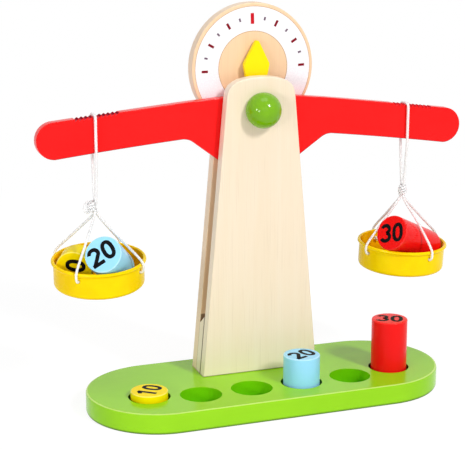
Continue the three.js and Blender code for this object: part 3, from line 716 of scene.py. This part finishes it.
# %% [markdown]
# ## The boards, the beam and the base
#
# These pieces only need a finish. Their meshes come as loose triangles, so a Weld joins
# the corners first. An Edge Split then keeps each real edge crisp, and Weighted Normals
# keep the broad faces flat while the rounded edges catch the light as one curve.

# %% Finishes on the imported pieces
WELD_REACH = 0.00002
CRISP_FROM = 40.0
PACKED = {
    "base_board": base_green,
    "front_board": post_wood,
    "rear_board": dial_wood,
    "spacer_block": block_wood,
    "axle_dowel": dial_wood,
    "beam": beam_red,
    "pointer": pointer_yellow,
    "left_pan": pan_enamels["left"],
    "right_pan": pan_enamels["right"],
}
PACKED |= {f"tower_screw_{number}": screw_zinc for number in range(1, 5)}


def keep(name, material):
    """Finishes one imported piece. Corners nearer than the reach become one, and an edge is
    split where its faces meet at more than the crisp angle."""
    piece = nodes[name]
    piece.data.materials.clear()
    piece.data.materials.append(material)
    piece.data.polygons.foreach_set("use_smooth", np.full(len(piece.data.polygons), True))
    weld = piece.modifiers.new("join_corners", "WELD")
    weld.merge_threshold = WELD_REACH
    split = piece.modifiers.new("crisp_edges", "EDGE_SPLIT")
    split.split_angle = math.radians(CRISP_FROM)
    normals = piece.modifiers.new("flat_faces", "WEIGHTED_NORMAL")
    normals.keep_sharp = True


for name, material in PACKED.items():
    keep(name, material)
print("packed pieces with a finish:", len(PACKED))

# %% [markdown]
# ## Turned pieces
#
# The weights and the knob were turned on a lathe, so each is one profile carried round an
# axis. Its corners are small arcs, which draw the bright ring round a weight's end.


# %% A profile carried round an axis
def turned(name, profile, place, turn=np.eye(3), around=96):
    """Each row is the circle (r cos a, r sin a, z) of one profile point (r, z)."""
    radius, height = np.asarray(profile, float).T
    ring = np.column_stack([unit_circle(around), np.zeros(around)])
    rows = radius[1:-1, None, None] * ring + height[1:-1, None, None] * UP
    rows = rows @ turn.T + place
    tips = [turn @ (UP * level) + place for level in (height[0], height[-1])]
    return skin(name, rows, tips[0], tips[1])


def arc(middle, radius, first, last, count):
    """Points (r, z) on a circle, between two angles in degrees."""
    angle = np.radians(np.linspace(first, last, count))
    return [(middle[0] + radius * math.cos(a), middle[1] + radius * math.sin(a)) for a in angle]


# %% [markdown]
# ### The knob
#
# The knob is a ball with a flat foot against the front board. Its profile runs out along
# the foot, steps onto the ball just above it, and follows the ball to its front.

# %% The knob
TOWER_FRONT = 11.0
AXLE_Z = 238.0
KNOB_RADIUS = 14.5
KNOB_REACH = 4.5
KNOB_FOOT = 12.9
FOOT_STEP = 4
rim = math.degrees(math.asin(KNOB_REACH / KNOB_RADIUS))
knob_ball = arc((0.0, KNOB_REACH), KNOB_RADIUS, -rim + FOOT_STEP, 90.0, 44)
knob_profile = [(0.0, 0.0), (KNOB_FOOT, 0.0)] + knob_ball
face_front = np.array(Matrix.Rotation(math.radians(90.0), 3, "X"))
knob_foot = np.array((0.0, TOWER_FRONT, AXLE_Z))
knob = turned("green_ball_knob", knob_profile, knob_foot, face_front)
finish_piece(knob, "stand", knob_green, ["front_ball_knob"])
print("knob reaches", round(KNOB_REACH + KNOB_RADIUS, 1), "mm in front of the post")

# %% [markdown]
# ### The six weights
#
# All weights share one diameter, and their lengths are in the ratio 1 to 2 to 3. Three
# stand in the base. The 10 lies on the floor of the left pan under the 20, and the 30
# with its end on the rim of the right pan. A weight is given by the middle of its
# numbered face, the face's axes, and the turn of its number.

# %% Where each weight is
WEIGHT_RADIUS = 15.0
TEN_LENGTH = 18.5
EDGE = 1.0
EDGE_POINTS = 7
FLOOR_IN_SOCKET = 3.8


def face_axes(outward):
    """Columns: level direction across the face, direction up the face, and outward. The
    first is up crossed with outward, and the second is outward crossed with the first."""
    across = np.cross(UP, outward)
    if np.linalg.norm(across) < 1e-6:
        across = np.array((1.0, 0.0, 0.0))
    across = across / np.linalg.norm(across)
    return np.stack([across, np.cross(outward, across), outward], axis=1)


def in_pan(side, middle, heading, dip):
    """The numbered face of a weight in a pan, from its place in the pan's own frame. The
    weight runs back from that face at a heading, and down by the dip."""
    turn, place = pan_frame(side)
    heading, dip = math.radians(heading), math.radians(dip)
    level = math.cos(dip)
    back = np.array((math.cos(heading) * level, math.sin(heading) * level, -math.sin(dip)))
    return turn @ np.array(middle) + place, face_axes(turn @ -back)


def in_socket(x, y, value):
    """The numbered face of a stored weight: the socket's floor plus the weight's length."""
    top = FLOOR_IN_SOCKET + TEN_LENGTH * value / 10
    return np.array((x, y, top)), face_axes(UP)


WEIGHTS = {
    "pan_weight_10": (10, in_pan("left", (-21.86, -4.31, -6.0), 62.74, 0.0), 82.6, "left_sling"),
    "pan_weight_20": (20, in_pan("left", (-3.34, -27.81, 13.33), 54.38, 38.0), 38.7, "loose_20"),
    "pan_weight_30": (
        30, in_pan("right", (-21.98, -22.64, 14.5), 25.87, 23.44), 15.3, "loose_30"
    ),
}
for value, (x, y), turn in zip((10, 20, 30), FILLED_SOCKETS, (51.0, 22.0, -27.0)):
    WEIGHTS[f"base_weight_{value}"] = (value, in_socket(x, y, value), turn, f"stored_{value}")


def turned_weight(name):
    """A round bar whose two ends have arcs of the edge's radius at their rims."""
    value, (middle, axes), _, body = WEIGHTS[name]
    length = TEN_LENGTH * value / 10
    side = WEIGHT_RADIUS - EDGE
    profile = [(0.0, -length)] + arc((side, -length + EDGE), EDGE, -90.0, 0.0, EDGE_POINTS)
    profile += arc((side, -EDGE), EDGE, 0.0, 90.0, EDGE_POINTS) + [(0.0, 0.0)]
    piece = turned(f"turned_{name}", profile, middle, axes)
    finish_piece(piece, body, weight_finishes[value], [name])
    normals = piece.modifiers.new("flat_ends", "WEIGHTED_NORMAL")
    normals.keep_sharp = True


for name in WEIGHTS:
    turned_weight(name)
print("weights:", ", ".join(WEIGHTS))

# %% [markdown]
# ## Numbers
#
# Bold numerals are printed on one end of each weight. Each stroke has an even width, so
# it is drawn as a pen would: a line along its middle, and a thin ribbon of ink along it.

# %% The middle lines of the strokes, in shares of the numeral's height
STROKE_SHARE = 0.195
NUMERAL_HEIGHT = 16.2
NUMERAL_PITCH = 11.8
INK_LOW, INK_HIGH = -0.03, 0.07
OVAL_POWER = 0.86


def oval(middle, half, first, last, count=40):
    """The middle plus (half width cos a, half height sin a), between two angles."""
    angle = np.radians(np.linspace(first, last, count))
    x, y = half[0] * np.cos(angle), half[1] * np.sin(angle)
    return np.stack([middle[0] + x, middle[1] + y], axis=-1)


def straight(first, last, count=6):
    """Points from the first to the last, mixed by an even share."""
    share = np.linspace(0.0, 1.0, count)[:, None]
    return np.array(first) * (1 - share) + np.array(last) * share


def flat_oval():
    """The closed 0, with flatter sides: its cosine and sine are raised to a power."""
    shape = unit_circle(72)
    shape = np.sign(shape) * np.abs(shape) ** OVAL_POWER
    return np.array((0.0, 0.5)) + np.array((0.222, 0.41)) * shape


bowl = oval((0.0, 0.68), (0.235, 0.23), 168.0, -28.0)
tail = straight(bowl[-1], (-0.225, 0.1))[1:]
NUMERALS = {
    "0": [flat_oval()],
    "1": [straight((0.06, 0.0), (0.06, 0.99)), straight((-0.2, 0.74), (0.03, 0.9))],
    "2": [np.vstack([bowl, tail]), straight((-0.32, 0.09), (0.325, 0.09))],
    "3": [
        oval((-0.01, 0.705), (0.22, 0.205), 158.0, -82.0),
        oval((-0.01, 0.3), (0.25, 0.21), 82.0, -160.0),
    ],
}
print("numerals:", ", ".join(NUMERALS))

# %% [markdown]
# ### Ink
#
# A ribbon starts just inside the wood, so no gap shows under the print. Two of the
# numbers were printed a little off the middle.

# %% A ribbon of ink along each stroke
PRINT_OFF = {"pan_weight_10": (1.0, -2.4), "pan_weight_20": (-1.2, 0.6)}


def ribbon(name, line, width, closed, middle, axes, high=INK_HIGH):
    """A thin box carried along a flat line: at each point, half the width to each side
    along the line's own normal, from just inside the face to just above it."""
    way = directions(line, closed)
    side = np.stack([-way[:, 1], way[:, 0]], axis=-1) * width / 2
    left, right = line + side, line - side
    flat = [(left, INK_LOW), (left, high), (right, high), (right, INK_LOW)]
    corners = [np.column_stack([edge, np.full(len(line), level)]) for edge, level in flat]
    rows = np.stack(corners, axis=1) @ axes.T + middle
    if closed:
        return skin(name, rows, ring=True, smooth=False)
    return skin(name, rows, rows[0].mean(axis=0), rows[-1].mean(axis=0), smooth=False)


def print_number(name):
    """Draws the numerals one pitch apart, turned on the face, and counts the strokes."""
    value, (middle, axes), turn, body = WEIGHTS[name]
    middle = middle + axes[:, :2] @ np.array(PRINT_OFF.get(name, (0.0, 0.0)))
    spin = np.array(Matrix.Rotation(math.radians(turn), 3, "Z"))
    width = STROKE_SHARE * NUMERAL_HEIGHT
    strokes = 0
    for place, numeral in enumerate(str(value)):
        offset = np.array(((place - 0.5) * NUMERAL_PITCH, -NUMERAL_HEIGHT / 2))
        for line in NUMERALS[numeral]:
            strokes += 1
            label = f"{name}_ink_{strokes}"
            line = line * NUMERAL_HEIGHT + offset
            piece = ribbon(label, line, width, numeral == "0", middle, axes @ spin)
            finish_piece(piece, body, black_ink)
    return strokes


print("ink strokes:", sum(print_number(name) for name in WEIGHTS))

# %% [markdown]
# ## The dial
#
# The head of the rear board carries a printed scale: a white ring, a bold red mark at the
# top, thinner dark red marks about every 30 degrees, and short grey marks half way
# between. The print is turned about one and a half degrees against the board.

# %% The white ring and its marks
DIAL_FACE_Y = 31.0
DIAL_Z = 269.3
INNER_RADIUS, OUTER_RADIUS = 29.5, 49.4
RING_HIGH = 0.05
RING_POINTS = 192
MARKS_MIDDLE = (0.4, 267.4)
MARKS_LIFT = 0.04
PRINT_TURN = -1.45
MARK_STEP = 14.7
TOP_MARK = (37.1, 45.8, 2.9, red_ink)
LONG_MARK = (39.0, 44.3, 2.0, dark_red_ink)
SHORT_MARK = (40.6, 43.4, 1.5, grey_ink)
dial_axes = face_axes(np.array((0.0, -1.0, 0.0)))
dial_middle = np.array((0.0, DIAL_FACE_Y, DIAL_Z))


def dial_mark(name, degrees, inner, outer, width, material):
    """A straight ribbon outward from the marks' middle, at an angle from the top."""
    angle = math.radians(degrees + PRINT_TURN)
    way = np.array((math.sin(angle), math.cos(angle)))
    middle = np.array((MARKS_MIDDLE[0], DIAL_FACE_Y, MARKS_MIDDLE[1]))
    middle = middle + dial_axes[:, 2] * MARKS_LIFT
    piece = ribbon(name, straight(way * inner, way * outer), width, False, middle, dial_axes)
    finish_piece(piece, "stand", material)


def dial_ring(name, radius, width, material, high=INK_HIGH):
    """A closed ribbon along the circle of that radius."""
    line = radius * unit_circle(RING_POINTS)
    piece = ribbon(name, line, width, True, dial_middle, dial_axes, high)
    finish_piece(piece, "stand", material)


middle_radius, ring_width = (INNER_RADIUS + OUTER_RADIUS) / 2, OUTER_RADIUS - INNER_RADIUS
dial_ring("dial_white_ring", middle_radius, ring_width, white_ink, RING_HIGH)
dial_ring("dial_inner_line", INNER_RADIUS, 0.5, edge_ink)
dial_ring("dial_outer_line", OUTER_RADIUS, 0.4, edge_ink)
for step in range(-6, 7):
    kind = TOP_MARK if step == 0 else LONG_MARK if step % 2 == 0 else SHORT_MARK
    dial_mark(f"dial_mark_{step + 6:02d}", step * MARK_STEP, *kind)
print("dial: 3 rings and 13 marks, one in every", MARK_STEP, "degrees")

# %% [markdown]
# ## Cords and knots
#
# The cord is soft three-ply cotton, about 2 mm thick. Its section is a circle with three
# shallow lobes, and turns as it is carried along, which gives the laid look. It is turned
# from a direction square to the route's plane, so it never flips.

# %% Cord carried along a route
VALLEY = 0.84
END_CAP = 0.3


def section_rows(path, radius, first, second, around):
    """At each point of a path: radius times (cos a first + sin a second)."""
    cosine, sine = unit_circle(around).T[:, None, :, None]
    return path[:, None] + radius * (cosine * first[:, None] + sine * second[:, None])


def laid_cord(name, route, thickness, steady, lay=7.0, step=0.4, around=24):
    """Radius at angle a and length s: the half thickness times 0.84 to 1, following the
    size of cos(1.5 (a - turns)), with one full turn in each lay length."""
    path = smooth_path(route, step)
    print(f"{name}: {(len(path) - 1) * step:.1f} mm of cord")
    way = directions(path)
    first = unit(steady - (way @ steady)[:, None] * way)
    angle = np.linspace(0.0, 2 * np.pi, around, endpoint=False)
    turns = (np.arange(len(path)) * step / lay * 2 * np.pi)[:, None]
    lobes = np.abs(np.cos(1.5 * (angle[None] - turns)))
    radius = thickness / 2 * (VALLEY + (1 - VALLEY) * lobes)
    rows = section_rows(path, radius[..., None], first, np.cross(way, first), around)
    return skin(name, rows, path[0] - way[0] * END_CAP, path[-1] + way[-1] * END_CAP)


def closed_cord(name, path, thickness, around=14):
    """A plain round cord along a closed path, framed by the direction from its middle."""
    way = directions(path, closed=True)
    out = path - path.mean(axis=0)
    first = unit(out - (out * way).sum(axis=1)[:, None] * way)
    rows = section_rows(path, thickness / 2, first, np.cross(way, first), around)
    return skin(name, rows, ring=True)


# %% [markdown]
# ### Knots
#
# An overhand knot with its ends joined is a trefoil, so a small trefoil stands for each
# stopper knot. The gather knot is larger: the cords go up its middle, and the working end
# is wound round them. The left one lies beside the cords, and its end is a small loop.

# %% Knot shapes
LEFTWARD = np.array((-0.94, 0.34, 0.0))
FORWARD = np.array((-0.34, -0.94, 0.0))
KNOT_ASIDE = {"left": 3.2, "right": 0.0}
COIL_TURNS = 3.6
COIL_HEIGHT = 7.6
BIGHT = [
    (0.5, 2.8), (2.6, 3.6), (4.8, 1.6), (5.7, -1.1),
    (5.0, -3.8), (3.2, -5.0), (1.2, -3.6), (0.0, -2.0),
]


def trefoil(middle, size, axes):
    """A third of the size times (sin t + 2 sin 2t, cos t - 2 cos 2t, -1.4 sin 3t)."""
    t = np.linspace(0.0, 2 * np.pi, 90, endpoint=False)
    x = np.sin(t) + 2 * np.sin(2 * t)
    y = np.cos(t) - 2 * np.cos(2 * t)
    shape = np.stack([x, y, -1.4 * np.sin(3 * t)], axis=-1)
    return shape / 3 * size @ axes.T + middle


def knot_middle(side):
    """The knot's place, moved aside to its left."""
    return knot_place(side) + KNOT_ASIDE[side] * LEFTWARD


def wound_knot(side):
    """A coil whose radius is 1.6 plus 1.25 times the sine of half a turn to the 0.6. Its
    height rises evenly and swings by 0.7 in each turn."""
    share = np.linspace(0.0, 1.0, 220)
    angle = share * 2 * np.pi * COIL_TURNS
    radius = 1.6 + 1.25 * np.sin(np.pi * share) ** 0.6
    height = (share - 0.5) * COIL_HEIGHT + 0.7 * np.cos(angle)
    coil = np.stack([radius * np.cos(angle), radius * np.sin(angle), height], axis=-1)
    return coil + knot_middle(side)


def knot_bight(side):
    """The small loop: (left, up) of each point, one millimetre in front of the knot."""
    points = np.array([LEFTWARD * left + UP * up for left, up in BIGHT])
    return points + FORWARD + knot_middle(side)


# %% [markdown]
# ### The two hangers
#
# Each loop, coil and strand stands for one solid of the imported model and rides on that
# solid's body. A soft core fills the winding.

# %% The two hangers
COIL_CORD, BIGHT_CORD, STRAND_CORD = 2.3, 2.1, 2.1
CORE_RADIUS, CORE_STRETCH = 2.2, 2.1
STOPPER_SIZE, STOPPER_CORD = 1.5, 1.5
CLOSE_LAY = {"lay": 6.0, "step": 0.35, "around": 18}
ALONG_BEAM = np.array((1.0, 0.0, 0.0))


def knot_core(side):
    """A ball stretched upwards: each height is multiplied by the stretch."""
    profile = arc((0.0, 0.0), CORE_RADIUS, -90.0, 90.0, 14)
    profile = [(radius, height * CORE_STRETCH) for radius, height in profile]
    return turned(f"{side}_knot_core", profile, knot_middle(side), around=24)


for side in SEATS:
    loop = laid_cord(f"{side}_loop_cord", loop_route(side), LOOP_CORD, ALONG_BEAM)
    finish_piece(loop, f"{side}_hanger", cotton_cord, [f"{side}_hanger_loop"])
    coil = laid_cord(f"{side}_knot_coil", wound_knot(side), COIL_CORD, UP, **CLOSE_LAY)
    finish_piece(coil, f"{side}_knot", cotton_cord, [f"{side}_gather_knot"])
    finish_piece(knot_core(side), f"{side}_knot", cotton_cord)
    if side == "left":
        bight = laid_cord(
            "left_knot_bight", knot_bight(side), BIGHT_CORD, -FORWARD, **CLOSE_LAY
        )
        finish_piece(bight, "left_knot", cotton_cord)
    for index in range(4):
        route, outward = strand_route(side, index)
        level = np.cross(outward, pan_frame(side)[0][:, 2])
        strand = laid_cord(f"{side}_strand_cord_{index + 1}", route, STRAND_CORD, level)
        stands_for = [f"{side}_strand_{index + 1}"]
        finish_piece(strand, f"{side}_sling", cotton_cord, stands_for)
        knot_path = trefoil(route[0], STOPPER_SIZE, face_axes(-outward))
        stopper = closed_cord(f"{side}_stopper_knot_{index + 1}", knot_path, STOPPER_CORD)
        finish_piece(stopper, f"{side}_sling", cotton_cord)

# %% [markdown]
# ## Floor and light
#
# The toy stands on a white sweep. Seen directly or mirrored, the floor mostly glows by
# itself, and a share of real floor near the toy keeps a soft grey shadow under the base.
# The room is white where it is seen and weaker as a light, so shadows keep their depth.

# %% The white sweep
FLOOR_HALF = 6.0
FLOOR_GREY = (0.86, 0.86, 0.86, 1.0)
SHADOW_ENDS = (0.34, 0.85)


def seen_or_mirrored(tree):
    """1 for a ray from the camera or from a glossy surface, 0 for any other: the larger
    of the two flags."""
    rays = add_node(tree, "LightPath", {}).outputs
    flags = {0: rays["Is Camera Ray"], 1: rays["Is Glossy Ray"]}
    return add_node(tree, "Math", flags, operation="MAXIMUM").outputs[0]


def white_sweep():
    """A square floor. The share of its glow grows from 0.8 near the toy to 1 far from it,
    and the strength falls from 1.12 to 1."""
    mesh = bpy.data.meshes.new("studio_floor")
    corners = [(-1, -1), (1, -1), (1, 1), (-1, 1)]
    corners = [(x * FLOOR_HALF, y * FLOOR_HALF, 0.0) for x, y in corners]
    mesh.from_pydata(corners, [], [(0, 1, 2, 3)])
    floor = add_object("studio_floor", mesh)
    coat = Finish("white_sweep")
    coat.set(Base_Color=FLOOR_GREY, Roughness=0.9, Specular_IOR_Level=0.0)
    tree = coat.tree
    distance = coat.vector("LENGTH", coat.place)
    share = coat.times(
        seen_or_mirrored(tree), coat.spread(distance, *SHADOW_ENDS, 0.8, 1.0)
    )
    glow = coat.node("Emission", {"Strength": coat.spread(distance, *SHADOW_ENDS, 1.12, 1.0)})
    shaders = {0: share, 1: coat.shader.outputs[0], 2: glow.outputs[0]}
    both = coat.node("MixShader", shaders)
    tree.links.new(both.outputs[0], tree.nodes["Material Output"].inputs["Surface"])
    mesh.materials.append(coat.material)


white_sweep()
print("floor:", 2 * FLOOR_HALF, "m wide")

# %% [markdown]
# ### Lamps
#
# The main light is a soft box high on the right, as the shadows of the ball and the
# pointer show. Two small lamps on the left draw the pair of highlights on the ball, a
# broad weak one fills the shadows, and a soft box overhead brightens the tops.

# %% The bright room and the lamps
ROOM_LIGHT = 0.325
AIM = (0.0, 0.0, 0.12)
LAMPS = {
    "key_softbox": ((1.32, -3.03, 2.61), (0.5, 0.75), 90.5),
    "left_lamp_high": ((-1.25, -0.5, 0.5), (0.12, 0.2), 2.7),
    "left_lamp_low": ((-1.05, -0.9, 0.33), (0.12, 0.2), 2.7),
    "front_fill": ((-0.45, -1.9, 0.8), (1.2, 0.9), 1.8),
    "top_softbox": ((0.0, -0.25, 1.9), (1.0, 0.8), 5.5),
}


def bright_room():
    """A white world: strength 1 where it is seen or mirrored, and ROOM_LIGHT as a light."""
    world = bpy.data.worlds.new("bright_room")
    world.use_nodes = True
    tree = world.node_tree
    room = tree.nodes["Background"]
    room.inputs["Color"].default_value = (1.0, 1.0, 1.0, 1.0)
    values = {"Value": seen_or_mirrored(tree), "To Min": ROOM_LIGHT, "To Max": 1.0}
    level = add_node(tree, "MapRange", values)
    tree.links.new(level.outputs["Result"], room.inputs["Strength"])
    bpy.context.scene.world = world


def lamp(name, place, size, watts):
    """A rectangle of light at a place, turned so that its face looks at the aim."""
    data = bpy.data.lights.new(name, "AREA")
    data.shape = "RECTANGLE"
    data.size, data.size_y = size
    data.energy = watts
    light = add_object(name, data)
    light.location = place
    way = Vector(AIM) - Vector(place)
    light.rotation_euler = way.to_track_quat("-Z", "Y").to_euler()


bright_room()
for name, (place, size, watts) in LAMPS.items():
    lamp(name, place, size, watts)
bpy.context.scene.view_settings.view_transform = "Standard"
print("lamps:", ", ".join(LAMPS))
